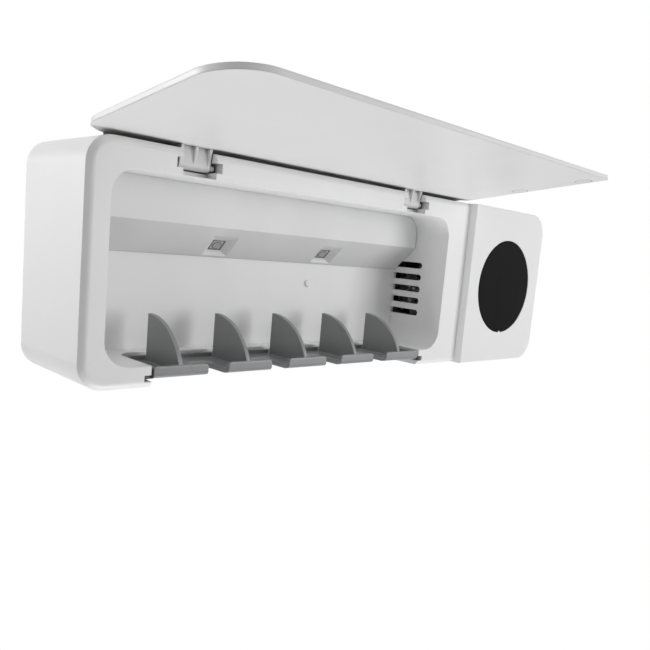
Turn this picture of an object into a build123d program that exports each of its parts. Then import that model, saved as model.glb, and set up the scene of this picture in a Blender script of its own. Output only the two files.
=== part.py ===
from build123d import *
from math import atan2, cos, radians, sin, tan
import os

# Wall-hung steriliser box with a lift-up lid on the left and a control pod on the right.
# Millimetres. The origin is the centre of the back, where the box meets the wall.
# +X runs to the right, the front faces -Y and +Z is up. A depth is a distance from the wall.

# box
body_width = 266.2
body_height = 80.0
land_depth = 46.6
wall = 1.8
corner_radius = 9.0
edge_bevel = 1.7
edge_blend = 2.2

# control pod
pod_width = 67.5
pod_step = 4.0
pod_corner_radius = 11.5
pod_edge = 0.5
pod_cover_wall = 2.0
pod_rim = 2.2
pod_lip_wall = 1.4
pod_lip_reach = 3.0
lip_clearance = 0.15

# tub behind the lid
rim_side = 7.9
rim_top = 9.1
rim_bottom = 7.4
land_width = 15.7
tub_back_depth = 14.4
tub_radius = 9.0
gate_mark_radius = 1.75
gate_mark_height = 0.7
gate_mark_taper = 30.0
gate_mark_right = 114.1
gate_mark_up = 27.6

# air slots in the tub's right wall
vent_count = 5
vent_pitch = 5.95
vent_height = 3.0
vent_set_back = 14.4
vent_centre_up = 27.8

# rack bay and its grooves
bay_inset = 17.6
bay_width = 143.5
bay_back_depth = 20.5
bay_corner_radius = 6.0
bay_frame = 1.5
bay_edge_round = 0.8
groove_low = 2.1
groove_high = 4.3
groove_reach = 2.8

# handle rack
rack_side_gap = 0.9
rack_back_gap = 0.5
rack_floor_low = 2.6
rack_floor = 2.0
rack_rim_high = 6.4
rack_rim_wall = 1.2
tongue_low = 2.4
tongue_wall = 1.6
tongue_reach = 2.4
tongue_end_gap = 1.5
lip_foot_set_back = 2.7
lip_wall = 0.8
lip_low = 3.3
lip_high = 7.1
lip_top_round = 0.5
lip_bottom_round = 1.3
lip_end_round = 1.5
slot_count = 4
slot_pitch = 29.45
slot_from_fin = 15.75
slot_width = 9.2
slot_length = 15.5
first_fin = 11.4
fin_wall = 1.5
fin_high = 22.3
fin_back_depth = 23.5
fin_bulge = 3.9
fin_tip = 1.2

# hinges
hinge_inset = 39.3
hinge_spacing = 116.7
hinge_count = 2
hinge_drop = 4.8
hinge_setback = 5.3
pin_radius = 0.6
pin_grip = 1.5
pin_end_gap = 0.2
pin_seat_clearance = 0.02
pin_running_clearance = 0.05
arm_width = 12.4
arm_web = 1.6
arm_web_offset = 0.2
barrel_radius = 1.8
knuckle_radius = 1.3
knuckle_length = 16.4
notch_width = 18.0
notch_clearance = 0.4
hinge_cheek = 2.0
recess_clearance = 0.3
gusset_count = 3
gusset_wall = 1.1
gusset_reach = 3.6

# lid
lid_tilt = 7.8
lid_gap = 0.4
lid_side_gap = 0.35
lid_wall = 1.9
lid_left_radius = 15.0
lid_right_radius = 1.5
lid_edge_round = 0.4
lid_relief_below = 4.5
lid_relief_above = 0.4
lid_relief_depth = 0.75
lid_stop_wall = 1.2
lid_stop_relief = 0.12

# magnets and lid sensor
magnet_radius = 3.6
magnet_height = 1.2
magnet_inset = 4.5
magnet_mid_drop = 0.4
magnet_low_rise = 9.3
magnet_clearance = 0.05
catch_magnet_height = 2.4
cup_wall = 1.2
sensor_width = 7.0
sensor_height = 16.0
sensor_board = 1.0
sensor_chip = 1.2

# lamp ledge
ledge_depth = 26.9
ledge_knee_drop = 15.2
ledge_foot_drop = 27.1
ledge_wall = 1.6
ledge_clearance = 0.2
lamp_count = 2
lamp_spacing = 59.0
lamp_centre_right = 90.5
lamp_along = 10.3
funnel_width = 12.2
funnel_length = 11.4
funnel_depth = 2.0
funnel_throat_width = 6.2
funnel_throat_length = 5.8
funnel_throat_shift = 1.8
funnel_wall = 0.8
lamp_nest = 1.4
lamp_width = 5.2
lamp_length = 4.8
lamp_height = 1.2
lamp_window_radius = 1.9
lamp_window_sink = 0.5
lamp_window_proud = 0.3
window_clearance = 0.03
lamp_board_wall = 1.2
lamp_board_width = 9.0
lamp_board_length = 78.0
access_side = 10.0
access_low_drop = 25.6
access_high_drop = 2.0

# round panel
panel_radius = 24.2
panel_gap = 0.3
panel_right = 33.3
panel_down = 0.3
panel_thickness = 2.0
panel_edge = 0.3
panel_travel = 0.8
flange_radius = 26.0
flange_wall = 1.2
flange_gap = 0.3
key_radius = 0.8
key_gap = 0.3
guide_count = 3
guide_ring = 20.0
guide_radius = 1.3
guide_gap = 0.2
stem_radius = 3.0

# control board and switch
control_width = 56.0
control_height = 64.0
board_wall = 1.6
control_set_back = 8.0
post_radius = 2.6
post_inset = 3.2
switch_size = 6.2
switch_corner = 0.8
switch_height = 2.4
plunger_radius = 1.7
plunger_clearance = 0.06
plunger_reach = 1.2
plunger_floor = 0.2

# screws
screw_radius = 1.2
board_screw_grip = 3.6
screw_length = 5.6
screw_head_radius = 2.3
screw_head_height = 1.4
screw_head_taper = 20.0
pilot_clearance = 0.02
screw_hole_clearance = 0.2
screw_socket_radius = 0.9
screw_socket_depth = 0.7

# back cover and wall bracket
cover_sink = 3.3
cover_wall = 1.8
cover_clearance = 0.2
boss_radius = 2.8
corner_boss_inset = 6.6
corner_boss_length = 16.0
tub_boss_side = 4.0
tub_boss_low = 15.0
tub_boss_high = 62.0
bracket_length = 110.0
bracket_height = 34.0
bracket_wall = 2.8
bracket_radius = 4.0
bracket_hole_radius = 2.1
bracket_countersink_radius = 4.0
bracket_hole_spacing = 44.0
lug_spacing = 90.0
lug_radius = 2.0
lug_head_radius = 4.0
lug_head_wall = 1.4
lug_gap = 0.3
lug_drop = 9.0

# charging socket, air intake
socket_width = 8.94
socket_wall = 3.26
socket_length = 7.35
socket_sink = 0.9
socket_gap = 0.3
socket_mouth_wall = 0.45
socket_mouth_depth = 5.5
socket_tongue = 0.7
intake_count = 5
intake_pitch = 4.2
intake_width = 1.8
intake_length = 16.0
intake_left = 46.0
intake_depth = 20.0

# fan
fan_magnet_gap = 4.1
fan_depth = 7.0
fan_rim = 1.0
fan_corner_radius = 2.0
fan_hole_inset = 3.0
fan_post_height = 1.2
fan_pilot_depth = 2.2
fan_hub_radius = 6.5
fan_hub_wall = 1.0
fan_spoke = 1.6
fan_spoke_count = 4
bearing_wall = 1.2
impeller_hub_radius = 7.0
impeller_hub_wall = 1.0
impeller_gap = 0.5
blade_count = 7
blade_gap = 0.7
blade_wall = 0.8
blade_chord = 5.4
blade_root_angle = 42.0
blade_tip_angle = 24.0
shaft_radius = 1.0
shaft_clearance = 0.04

# main board and battery
main_left = -1.9
main_width = 35.0
main_height = 62.0
main_bottom = 2.8
main_standoff = 4.4
cell_right = 46.9
cell_radius = 9.2
holder_end_gap = 3.6
cell_cap_radius = 2.7
cell_cap_height = 0.8
holder_wall = 1.8
holder_end_height = 15.0
holder_side = 1.6
cell_clearance = 0.3

# places worked out from the sizes above
left = -body_width / 2
right = body_width / 2
bottom = -body_height / 2
top = body_height / 2
step_x = right - pod_width
pod_depth = land_depth + pod_step
control_depth = pod_depth - control_set_back
tub_left = left + rim_side
tub_right = step_x - land_width
tub_floor = bottom + rim_bottom
tub_ceiling = top - rim_top
tub_width = tub_right - tub_left
tub_height = tub_ceiling - tub_floor
tub_mid_x = (tub_left + tub_right) / 2
tub_mid_z = (tub_floor + tub_ceiling) / 2
bay_left = tub_left + bay_inset
bay_right = bay_left + bay_width
fin_places = [bay_left + first_fin + i * slot_pitch for i in range(slot_count + 1)]
slot_places = [x + slot_from_fin for x in fin_places[:-1]]
lip_foot_depth = land_depth - lip_foot_set_back
lip_back_depth = land_depth - lip_wall
hinge_places = [left + hinge_inset + i * hinge_spacing for i in range(hinge_count)]
hinge_y = hinge_setback - land_depth
hinge_z = top - hinge_drop
lid_inner = hinge_setback + lid_gap
lid_outer = lid_inner + lid_wall
lid_right = step_x - lid_side_gap
magnet_x = lid_right - magnet_inset
magnet_drops = (body_height / 2 + magnet_mid_drop, body_height - magnet_low_rise)
panel_x = step_x + panel_right
panel_z = -panel_down
vent_z = tub_floor + vent_centre_up
vent_length = land_depth - vent_set_back - tub_back_depth
vent_depth = tub_back_depth + vent_length / 2
catch_back_depth = land_depth - wall - catch_magnet_height
fan_size = 2 * (catch_back_depth - fan_magnet_gap - vent_depth)
fan_bore_radius = fan_size / 2 - fan_rim
fan_hole_spacing = fan_size - 2 * fan_hole_inset
blade_radius = fan_bore_radius - blade_gap
cover_inner_depth = cover_sink + cover_wall


def depth_plane(depth):
    # parallel to the wall: local x is X, local y is Z, outward is the front
    return Plane.XZ.offset(depth)


def side_plane(x):
    # looking along X: local x is Y, local y is Z
    return Plane.YZ.offset(x)


def level_plane(z):
    return Plane.XY.offset(z)


# Front housing. One moulding: outer skin, front land, tub, rack bay, hinge notches and bosses.
notch_floor = hinge_z - barrel_radius - notch_clearance
stem_width = arm_width + 2 * notch_clearance
notch_back_depth = -hinge_y - barrel_radius - notch_clearance
recess_floor = hinge_z - gusset_reach - recess_clearance
ledge_theta = atan2(ledge_foot_drop - ledge_knee_drop, ledge_depth - tub_back_depth)
fan_x = tub_right + wall + fan_post_height
fan_corner = fan_hole_spacing / 2
pod_open_left = step_x + pod_rim
pod_open_right = right - wall
pod_open_mid = (pod_open_left + pod_open_right) / 2
pod_open_width = pod_open_right - pod_open_left
tub_boss_x = (tub_left + tub_boss_side, tub_right - tub_boss_side)
tub_boss_z = (bottom + tub_boss_low, bottom + tub_boss_high)
tub_boss_points = [(x, z) for x in tub_boss_x for z in tub_boss_z]
corner_boss_x = right - corner_boss_inset
corner_boss_z = top - corner_boss_inset
corner_boss_points = [(corner_boss_x, -corner_boss_z), (corner_boss_x, corner_boss_z)]
cover_screw_points = tub_boss_points + corner_boss_points
socket_x = step_x + main_left + main_width / 2
socket_front_depth = cover_inner_depth + main_standoff + board_wall
socket_mid_depth = socket_front_depth + socket_wall / 2

with BuildPart() as front_housing:
    with BuildSketch(Plane.XZ) as box_outline:
        with Locations(((left + step_x) / 2, 0)):
            Rectangle(step_x - left, body_height)
        fillet(box_outline.vertices().group_by(Axis.X)[0], corner_radius)
    extrude(amount=land_depth)
    land_edges = front_housing.faces().sort_by(Axis.Y)[0].edges()
    chamfer(land_edges.sort_by(Axis.X)[:-1], edge_bevel)
    land_edges = front_housing.faces().sort_by(Axis.Y)[0].edges()
    fillet(land_edges.sort_by(Axis.X)[:-1], edge_blend)
    with BuildSketch(Plane.XZ) as pod_outline:
        with Locations(((step_x + right) / 2, 0)):
            Rectangle(pod_width, body_height)
        fillet(pod_outline.vertices().group_by(Axis.X)[-1], pod_corner_radius)
    extrude(amount=land_depth)

    # hollow between the skin and the tub, open at the back, and the pod's open front
    with BuildSketch(Plane.XZ) as inner_outline:
        Rectangle(body_width - 2 * wall, body_height - 2 * wall)
        fillet(inner_outline.vertices().group_by(Axis.X)[0], corner_radius - wall)
        fillet(inner_outline.vertices().group_by(Axis.X)[-1], pod_corner_radius - wall)
    extrude(amount=land_depth - wall, mode=Mode.SUBTRACT)
    with BuildSketch(depth_plane(land_depth - 2 * wall)) as pod_opening:
        with Locations((pod_open_mid, 0)):
            Rectangle(pod_open_width, body_height - 2 * wall)
        fillet(pod_opening.vertices().group_by(Axis.X)[-1], pod_corner_radius - wall)
    extrude(amount=3 * wall, mode=Mode.SUBTRACT)

    # tub
    with BuildSketch(depth_plane(tub_back_depth - wall)):
        with Locations((tub_mid_x, tub_mid_z)):
            RectangleRounded(tub_width + 2 * wall, tub_height + 2 * wall, tub_radius + wall)
    extrude(amount=land_depth - tub_back_depth)

    # solid frame of the rack bay, through both skins of the bottom
    with BuildSketch(depth_plane(bay_back_depth - wall)):
        with Locations(((bay_left + bay_right) / 2, (bottom + tub_floor) / 2)):
            Rectangle(bay_width + 2 * (groove_reach + bay_frame), rim_bottom - wall)
    extrude(amount=land_depth - bay_back_depth)

    # solid blocks that the hinge notches are cut in
    with BuildSketch(depth_plane(notch_back_depth - wall)):
        for x in hinge_places:
            with Locations((x, (tub_ceiling + top) / 2)):
                Rectangle(notch_width + 2 * hinge_cheek, rim_top - wall)
    extrude(amount=land_depth - notch_back_depth)

    # tub cavity, with the gate mark left standing on its back wall
    with BuildSketch(depth_plane(tub_back_depth)):
        with Locations((tub_mid_x, tub_mid_z)):
            RectangleRounded(tub_width, tub_height, tub_radius)
    extrude(amount=land_depth, mode=Mode.SUBTRACT)
    with BuildSketch(depth_plane(tub_back_depth)):
        with Locations((tub_left + gate_mark_right, tub_floor + gate_mark_up)):
            Circle(gate_mark_radius)
    extrude(amount=gate_mark_height, taper=gate_mark_taper)

    # access window behind the lamp ledge
    with BuildSketch(depth_plane(tub_back_depth - 2 * wall)):
        with Locations((tub_mid_x, tub_ceiling - (access_low_drop + access_high_drop) / 2)):
            Rectangle(tub_width - 2 * access_side, access_low_drop - access_high_drop)
    extrude(amount=3 * wall, mode=Mode.SUBTRACT)

    # rack bay and the grooves at its ends
    with BuildSketch(level_plane(bottom)) as bay_outline:
        with Locations(((bay_left + bay_right) / 2, -(bay_back_depth + pod_depth) / 2)):
            Rectangle(bay_width, pod_depth - bay_back_depth)
        fillet(bay_outline.vertices().group_by(Axis.Y)[-1], bay_corner_radius)
    extrude(amount=rim_bottom, mode=Mode.SUBTRACT)
    groove_back_depth = bay_back_depth + bay_corner_radius
    with BuildSketch(level_plane(bottom + groove_low)):
        with Locations(((bay_left + bay_right) / 2, -(groove_back_depth + pod_depth) / 2)):
            Rectangle(bay_width + 2 * groove_reach, pod_depth - groove_back_depth)
    extrude(amount=groove_high - groove_low, mode=Mode.SUBTRACT)

    # air slots: square at the tub's back, round at the front
    with BuildSketch(side_plane(tub_right - wall)):
        with Locations((-vent_depth, vent_z)):
            with GridLocations(0, vent_pitch, 1, vent_count):
                Rectangle(vent_length - vent_height, vent_height)
                with Locations(((vent_height - vent_length) / 2, 0)):
                    Circle(vent_height / 2)
                with Locations(((vent_length - vent_height) / 2, 0)):
                    Rectangle(vent_height, vent_height)
    extrude(amount=3 * wall, mode=Mode.SUBTRACT)

    # four low posts that carry the fan
    with BuildSketch(side_plane(tub_right + wall)):
        with Locations((-vent_depth, vent_z)):
            with GridLocations(fan_hole_spacing, fan_hole_spacing, 2, 2):
                Circle(post_radius)
    extrude(amount=fan_post_height)
    with BuildSketch(side_plane(fan_x)):
        with Locations((-vent_depth, vent_z)):
            with GridLocations(fan_hole_spacing, fan_hole_spacing, 2, 2):
                Circle(screw_radius + pilot_clearance)
    extrude(amount=-fan_pilot_depth, mode=Mode.SUBTRACT)

    # hinge notches: a pocket for the knuckles, a stem for the arm, and the pin's blind holes
    with BuildSketch(depth_plane(notch_back_depth)):
        for x in hinge_places:
            with Locations((x, hinge_z)):
                Rectangle(notch_width, 2 * (knuckle_radius + notch_clearance))
            with Locations((x, (notch_floor + top + wall) / 2)):
                Rectangle(stem_width, top + wall - notch_floor)
    extrude(amount=land_depth, mode=Mode.SUBTRACT)
    # recess below each notch, for the gussets of the closed lid
    with BuildSketch(depth_plane(-hinge_y - recess_clearance)):
        for x in hinge_places:
            with Locations((x, (recess_floor + hinge_z) / 2)):
                Rectangle(stem_width, hinge_z - recess_floor)
    extrude(amount=land_depth, mode=Mode.SUBTRACT)
    for x in hinge_places:
        with BuildSketch(side_plane(x - notch_width / 2 - pin_grip)):
            with Locations((hinge_y, hinge_z)):
                Circle(pin_radius + pin_seat_clearance)
        extrude(amount=notch_width + 2 * pin_grip, mode=Mode.SUBTRACT)

    # cups for the catch magnets behind the land
    with BuildSketch(depth_plane(catch_back_depth)):
        for drop in magnet_drops:
            with Locations((magnet_x, top - drop)):
                Circle(magnet_radius + magnet_clearance + cup_wall)
                Circle(magnet_radius + magnet_clearance, mode=Mode.SUBTRACT)
    extrude(amount=catch_magnet_height)

    # bosses for the back cover's screws
    with BuildSketch(depth_plane(cover_inner_depth)):
        with Locations(*tub_boss_points):
            Circle(boss_radius)
    extrude(amount=tub_back_depth - wall - cover_inner_depth)
    with BuildSketch(depth_plane(cover_inner_depth)):
        with Locations(*corner_boss_points):
            Circle(boss_radius)
    extrude(amount=corner_boss_length)
    with BuildSketch(depth_plane(cover_inner_depth)):
        with Locations(*cover_screw_points):
            Circle(screw_radius + pilot_clearance)
    extrude(amount=screw_length, mode=Mode.SUBTRACT)

    # charging socket's opening and the air intake, both in the pod's underside
    with BuildSketch(level_plane(bottom)):
        with Locations((socket_x, -socket_mid_depth)):
            SlotOverall(socket_width + 2 * socket_gap, socket_wall + 2 * socket_gap)
        with Locations((step_x + intake_left, -intake_depth)):
            with GridLocations(intake_pitch, 0, intake_count, 1):
                SlotOverall(intake_length, intake_width, rotation=90)
    extrude(amount=wall, mode=Mode.SUBTRACT)
    bay_corners = front_housing.edges().filter_by(Axis.Z).filter_by_position(
        Axis.Y, -land_depth - pod_edge, -land_depth + pod_edge
    ).filter_by_position(Axis.X, bay_left - pod_edge, bay_right + pod_edge)
    fillet(bay_corners.filter_by_position(Axis.Z, bottom, tub_floor), bay_edge_round)
front_housing.part.label = "front_housing"

# Pod cover, with the round hole, its key, the locating lip and the posts of the control board.
pod_open_height = body_height - 2 * wall
post_x = control_width / 2 - post_inset
post_z = control_height / 2 - post_inset
post_front_depth = pod_depth - pod_cover_wall
post_points = [(panel_x + sx * post_x, panel_z + sz * post_z) for sx in (-1, 1) for sz in (-1, 1)]
key_point = (panel_x, panel_z - panel_radius - panel_gap)

with BuildPart() as pod_cover:
    with BuildSketch(depth_plane(land_depth)):
        add(pod_outline.sketch_local)
    extrude(amount=pod_step)
    fillet(pod_cover.faces().sort_by(Axis.Y)[0].edges(), pod_edge)
    with BuildSketch(depth_plane(land_depth - pod_lip_reach)) as lip_outline:
        with Locations((pod_open_mid, 0)):
            Rectangle(pod_open_width - 2 * lip_clearance, pod_open_height - 2 * lip_clearance)
        fillet(lip_outline.vertices().group_by(Axis.X)[-1], pod_corner_radius - wall)
    extrude(amount=pod_lip_reach)
    lip_inset = lip_clearance + pod_lip_wall
    with BuildSketch(depth_plane(land_depth - pod_lip_reach)) as cover_pocket:
        with Locations((pod_open_mid, 0)):
            Rectangle(pod_open_width - 2 * lip_inset, pod_open_height - 2 * lip_inset)
        fillet(cover_pocket.vertices().group_by(Axis.X)[-1], pod_corner_radius - wall - pod_lip_wall)
    extrude(amount=pod_lip_reach + pod_step - pod_cover_wall, mode=Mode.SUBTRACT)
    with BuildSketch(depth_plane(post_front_depth)):
        with Locations((panel_x, panel_z)):
            Circle(panel_radius + panel_gap)
    extrude(amount=pod_cover_wall, mode=Mode.SUBTRACT)
    with BuildSketch(depth_plane(post_front_depth)):
        with Locations(key_point):
            Circle(key_radius)
    extrude(amount=pod_cover_wall)
    with BuildSketch(depth_plane(control_depth)):
        with Locations(*post_points):
            Circle(post_radius)
    extrude(amount=post_front_depth - control_depth)
    with BuildSketch(depth_plane(control_depth)):
        with Locations(*post_points):
            Circle(screw_radius + pilot_clearance)
    extrude(amount=screw_length, mode=Mode.SUBTRACT)
pod_cover.part.label = "pod_cover"

# Round push panel: a flush disc, the flange that stops it behind the cover, guides and a stem.
flange_front_depth = post_front_depth - flange_gap
flange_back_depth = flange_front_depth - flange_wall
panel_inner_depth = pod_depth - panel_thickness
switch_front_depth = control_depth + switch_height
stem_back_depth = switch_front_depth + plunger_reach
guide_back_depth = control_depth - board_wall - panel_travel

with BuildPart() as round_panel:
    with BuildSketch(depth_plane(flange_front_depth)):
        with Locations((panel_x, panel_z)):
            Circle(panel_radius)
    extrude(amount=pod_depth - flange_front_depth)
    chamfer(round_panel.faces().sort_by(Axis.Y)[0].edges(), panel_edge)
    with BuildSketch(depth_plane(flange_back_depth)):
        with Locations((panel_x, panel_z)):
            Circle(flange_radius)
    extrude(amount=flange_wall)
    with BuildSketch(depth_plane(flange_back_depth)):
        with Locations((panel_x, panel_z)):
            Circle(guide_ring + guide_radius)
    extrude(amount=panel_inner_depth - flange_back_depth, mode=Mode.SUBTRACT)
    with BuildSketch(depth_plane(flange_front_depth)):
        with Locations(key_point):
            Circle(key_radius + key_gap)
    extrude(amount=pod_step, mode=Mode.SUBTRACT)
    with BuildSketch(depth_plane(guide_back_depth)):
        with Locations((panel_x, panel_z)):
            with PolarLocations(guide_ring - guide_radius, guide_count):
                Circle(guide_radius)
    extrude(amount=panel_inner_depth - guide_back_depth)
    with BuildSketch(depth_plane(stem_back_depth)):
        with Locations((panel_x, panel_z)):
            Circle(stem_radius)
    extrude(amount=panel_inner_depth - stem_back_depth)
round_panel.part.label = "round_panel"

# Press switch under the stem: a square body with a bore, and the plunger that runs in it.
with BuildPart() as press_switch:
    with BuildSketch(depth_plane(control_depth)):
        with Locations((panel_x, panel_z)):
            RectangleRounded(switch_size, switch_size, switch_corner)
    extrude(amount=switch_height)
    with BuildSketch(depth_plane(control_depth + plunger_floor)):
        with Locations((panel_x, panel_z)):
            Circle(plunger_radius + plunger_clearance)
    extrude(amount=switch_height, mode=Mode.SUBTRACT)
press_switch.part.label = "press_switch"

plunger_back_depth = control_depth + 2 * plunger_floor + panel_travel
with BuildPart() as switch_plunger:
    with BuildSketch(depth_plane(plunger_back_depth)):
        with Locations((panel_x, panel_z)):
            Circle(plunger_radius)
    extrude(amount=stem_back_depth - plunger_back_depth)
switch_plunger.part.label = "switch_plunger"

# Control board on the cover's four posts, pierced for the panel's guides.
with BuildPart() as control_board:
    with BuildSketch(depth_plane(control_depth - board_wall)):
        with Locations((panel_x, panel_z)):
            Rectangle(control_width, control_height)
            with PolarLocations(guide_ring - guide_radius, guide_count):
                Circle(guide_radius + guide_gap, mode=Mode.SUBTRACT)
        with Locations(*post_points):
            Circle(screw_radius + screw_hole_clearance, mode=Mode.SUBTRACT)
    extrude(amount=board_wall)
control_board.part.label = "control_board"


def screw_group(planes, length):
    # pan-head screws: each plane lies under a head, and its normal points out of the head
    with BuildPart() as group:
        with BuildSketch(*planes):
            Circle(screw_head_radius)
        extrude(amount=screw_head_height, taper=screw_head_taper)
        with BuildSketch(*planes):
            Circle(screw_radius)
        extrude(amount=-length)
        with BuildSketch(*[plane.offset(screw_head_height) for plane in planes]):
            RegularPolygon(screw_socket_radius, 6)
        extrude(amount=-screw_socket_depth, mode=Mode.SUBTRACT)
    return group


control_screw_depth = control_depth - board_wall
control_screws = screw_group(
    [Plane(origin=(x, -control_screw_depth, z), z_dir=(0, 1, 0)) for x, z in post_points],
    board_wall + board_screw_grip,
)
control_screws.part.label = "control_screws"

# Lid, drawn in its own frame: local x along the hinge, local y towards the hinge edge when
# closed, normal out of the lid's outer face. The frame is tilted to the open position.
tilt = radians(lid_tilt)
lid_plane = Plane(origin=(0, hinge_y, hinge_z), x_dir=(1, 0, 0), z_dir=(0, sin(tilt), cos(tilt)))
lid_out = Axis(lid_plane.origin, lid_plane.z_dir)
lid_width = lid_right - left
magnet_points = [(magnet_x, hinge_drop - drop) for drop in magnet_drops]
arm_front = -arm_web_offset - arm_web
arm_root = lid_inner + lid_relief_depth
gusset_step = (arm_width - gusset_wall) / (gusset_count - 1)


def lid_side_plane(x):
    # across the lid: local x towards the hinge edge, local y out of the lid
    return Plane(origin=lid_plane.origin + Vector(x, 0, 0), x_dir=lid_plane.y_dir, z_dir=(1, 0, 0))


with BuildPart() as lid_plate:
    with BuildSketch(lid_plane.offset(lid_inner)) as lid_outline:
        with Locations(((left + lid_right) / 2, hinge_drop - body_height / 2)):
            Rectangle(lid_width, body_height)
        fillet(lid_outline.vertices().group_by(Axis.X)[0], lid_left_radius)
        fillet(lid_outline.vertices().group_by(Axis.X)[-1], lid_right_radius)
    extrude(amount=lid_wall)
    fillet(lid_plate.faces().sort_by(lid_out)[-1].edges(), lid_edge_round)
    # shallow groove that clears the box's front edge as the lid swings, with a stop behind it
    # that meets the top of the box when the lid is fully open
    with BuildSketch(lid_side_plane(left)):
        with BuildLine():
            Polyline(
                (-lid_relief_below, lid_inner),
                (lid_relief_above, lid_inner + lid_relief_depth),
                (hinge_drop - lid_stop_wall, lid_inner + lid_relief_depth),
                (hinge_drop - lid_stop_wall, lid_inner + lid_stop_relief),
                (hinge_drop, lid_inner + lid_stop_relief),
                (hinge_drop, lid_inner),
                close=True,
            )
        make_face()
    extrude(amount=lid_width, mode=Mode.SUBTRACT)
    with BuildSketch(lid_plane.offset(lid_inner)):
        with Locations(*magnet_points):
            Circle(magnet_radius + magnet_clearance)
    extrude(amount=magnet_height, mode=Mode.SUBTRACT)
    # two arms: a web with three gussets, a barrel at its end and a thinner knuckle on each side
    for x in hinge_places:
        with BuildSketch(lid_side_plane(x - arm_width / 2)):
            with BuildLine():
                Polyline(
                    (arm_front, 0),
                    (arm_front, arm_root),
                    (-arm_web_offset, arm_root),
                    (-arm_web_offset, 0),
                    close=True,
                )
            make_face()
            Circle(barrel_radius)
        extrude(amount=arm_width)
        for i in range(gusset_count):
            with BuildSketch(lid_side_plane(x - arm_width / 2 + i * gusset_step)):
                with BuildLine():
                    Polyline(
                        (-arm_web_offset, 0),
                        (arm_front, 0),
                        (-gusset_reach, lid_inner),
                        (-gusset_reach, arm_root),
                        (-arm_web_offset, arm_root),
                        close=True,
                    )
                make_face()
            extrude(amount=gusset_wall)
        with BuildSketch(lid_side_plane(x - knuckle_length / 2)):
            Circle(knuckle_radius)
        extrude(amount=knuckle_length)
        with BuildSketch(lid_side_plane(x - knuckle_length / 2)):
            Circle(pin_radius + pin_running_clearance)
        extrude(amount=knuckle_length, mode=Mode.SUBTRACT)
lid_plate.part.label = "lid_plate"

with BuildPart() as lid_magnets:
    with BuildSketch(lid_plane.offset(lid_inner)):
        with Locations(*magnet_points):
            Circle(magnet_radius)
    extrude(amount=magnet_height)
lid_magnets.part.label = "lid_magnets"

with BuildPart() as catch_magnets:
    with BuildSketch(depth_plane(catch_back_depth)):
        for drop in magnet_drops:
            with Locations((magnet_x, top - drop)):
                Circle(magnet_radius)
    extrude(amount=catch_magnet_height)
catch_magnets.part.label = "catch_magnets"

# Steel hinge pins, held in the notch's cheeks.
pin_length = notch_width + 2 * pin_grip - 2 * pin_end_gap
with BuildPart() as hinge_pins:
    for x in hinge_places:
        with BuildSketch(side_plane(x - pin_length / 2)):
            with Locations((hinge_y, hinge_z)):
                Circle(pin_radius)
        extrude(amount=pin_length)
hinge_pins.part.label = "hinge_pins"

# Lid sensor behind the land, between the catch magnets.
sensor_z = top - sum(magnet_drops) / len(magnet_drops)
sensor_back_depth = land_depth - wall - sensor_board
with BuildPart() as lid_sensor:
    with BuildSketch(depth_plane(sensor_back_depth)):
        with Locations((magnet_x, sensor_z)):
            Rectangle(sensor_width, sensor_height)
    extrude(amount=sensor_board)
    with BuildSketch(depth_plane(sensor_back_depth - sensor_chip)):
        with Locations((magnet_x, sensor_z)):
            Rectangle(sensor_width / 2, sensor_width / 2)
    extrude(amount=sensor_chip)
lid_sensor.part.label = "lid_sensor"

# Handle rack: a tray with open-front slots, ramped front lips, fins and end tongues.
rack_left = bay_left + rack_side_gap
rack_right = bay_right - rack_side_gap
rack_width = rack_right - rack_left
rack_mid = (rack_left + rack_right) / 2
rack_back_depth = bay_back_depth + rack_back_gap
rack_mid_y = -(rack_back_depth + lip_foot_depth) / 2
rack_deep = lip_foot_depth - rack_back_depth
rack_floor_z = bottom + rack_floor_low
rack_floor_top_z = rack_floor_z + rack_floor
lip_top_z = bottom + lip_high
slot_back_depth = land_depth - slot_length
slot_round_y = -(slot_back_depth + slot_width / 2)
lip_starts = [rack_left] + [x + slot_width / 2 for x in slot_places]
lip_ends = [x - slot_width / 2 for x in slot_places] + [rack_right]
tongue_back_depth = groove_back_depth + tongue_end_gap
tongue_span = bay_width + 2 * tongue_reach

# one long lip with a ramp behind it, cut to the lengths between the slots
with BuildPart() as rack_lips:
    with BuildSketch(side_plane(rack_left)) as lip_profile:
        with BuildLine():
            Polyline(
                (-lip_foot_depth, rack_floor_z),
                (-lip_foot_depth, rack_floor_top_z),
                (-lip_back_depth, lip_top_z),
                (-land_depth, lip_top_z),
                (-land_depth, bottom + lip_low),
                close=True,
            )
        make_face()
        lip_front = lip_profile.vertices().group_by(Axis.X)[0].sort_by(Axis.Y)
        fillet(lip_front[0], lip_bottom_round)
        lip_front = lip_profile.vertices().sort_by(Axis.Y)[-2:].sort_by(Axis.X)
        fillet(lip_front[0], lip_top_round)
    extrude(amount=rack_width)
    with BuildSketch(depth_plane(rack_back_depth)):
        for start, end in zip(lip_starts, lip_ends):
            with Locations(((start + end) / 2, (bottom + lip_top_z) / 2)):
                RectangleRounded(end - start, lip_high, lip_end_round)
    extrude(amount=pod_depth - rack_back_depth, mode=Mode.INTERSECT)

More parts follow.
